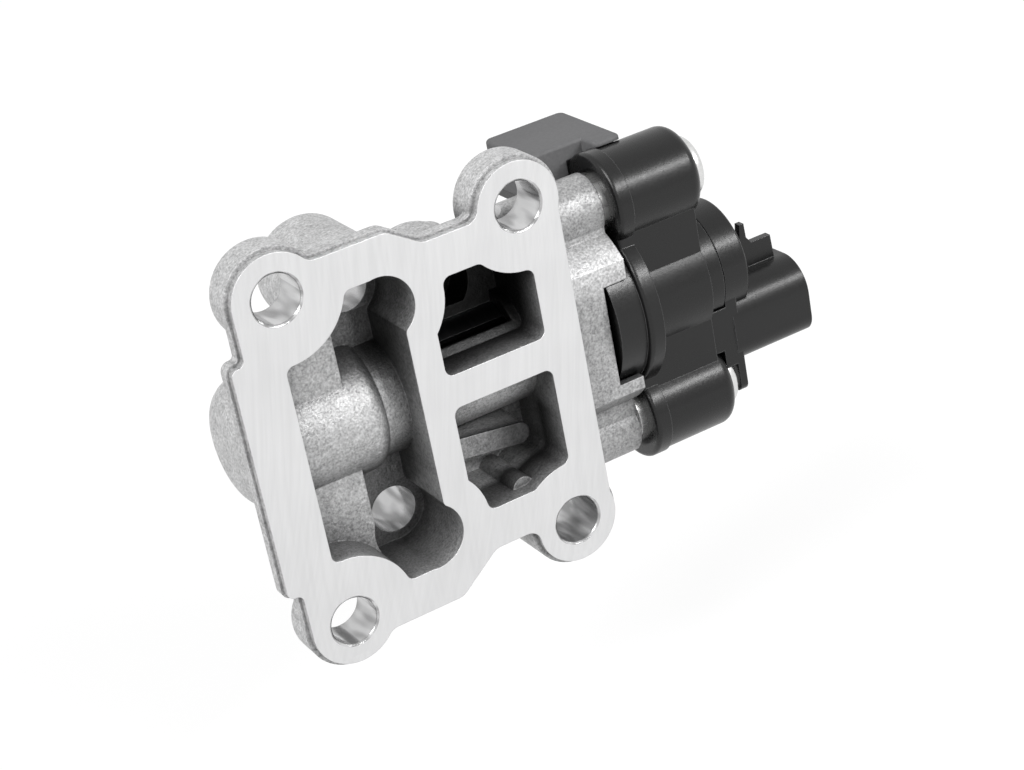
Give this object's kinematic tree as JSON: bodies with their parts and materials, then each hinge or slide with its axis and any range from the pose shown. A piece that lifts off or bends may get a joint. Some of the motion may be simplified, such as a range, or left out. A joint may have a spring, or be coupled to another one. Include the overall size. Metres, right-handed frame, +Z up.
{
  "type": "idle air control valve",
  "caption": "Idle air control valve: die-cast flange body with coolant chamber and two air ports, rotary shutter inside, black actuator housing with connector.",
  "frame": {"origin": "centre of the rectangle of four mounting holes, on the machined flange face", "axes": "+X along the shaft, from the blind end of the casting to the connector; +Y from the flange face into the casting; +Z up across the flange, towards the air inlet port"},
  "size_m": [0.0941, 0.0289, 0.0634],
  "materials": {
    "cast_aluminium": "die-cast skin, machined flange face and bores",
    "black_plastic": "glass-filled black moulding, satin",
    "grey_plastic": "dark grey moulding, matte",
    "board": "green circuit board",
    "chip": "black epoxy",
    "plated_steel": "zinc plated",
    "rubber": "black rubber",
    "bronze": "sintered bronze",
    "bimetal": "rolled strip",
    "yoke_steel": "plated yoke steel",
    "bobbin_plastic": "natural moulding",
    "copper": "enamelled copper wire",
    "tinned_brass": "tinned",
    "ground_steel": "ground",
    "shutter_steel": "machined, slightly darkened",
    "ferrite": "sintered magnet"
  },
  "bodies": {
    "casting": {"valve_body": "cast_aluminium", "actuator_housing": "black_plastic", "connector_cap": "black_plastic", "driver_cover": "grey_plastic", "circuit_board": "board", "driver_chip": "chip", "upper_screw": "plated_steel", "lower_screw": "plated_steel", "upper_sleeve": "plated_steel", "lower_sleeve": "plated_steel", "housing_o_ring": "rubber", "shaft_seal": "rubber", "front_bearing": "bronze", "rear_bearing": "bronze", "tail_bearing": "bronze", "bimetal_coil": "bimetal", "stator_yoke": "yoke_steel", "pole_plate": "yoke_steel", "coil_bobbin": "bobbin_plastic", "coil_winding": "copper", "terminal_1": "tinned_brass", "terminal_2": "tinned_brass", "terminal_3": "tinned_brass"},
    "rotor": {"shaft": "ground_steel", "rotary_valve": "shutter_steel", "valve_pin": "ground_steel", "rotor_hub": "bobbin_plastic", "rotor_magnet": "ferrite", "stop_lever": "shutter_steel", "shaft_clip": "ground_steel", "thrust_washer": "bronze"}
  },
  "joints": [
    {"name": "shutter_turn", "type": "hinge", "parent": "casting", "child": "rotor", "pos_m": [0.01, 0.0135, 0], "axis": [1, 0, 0], "range_deg": [-30, 30]}
  ]
}
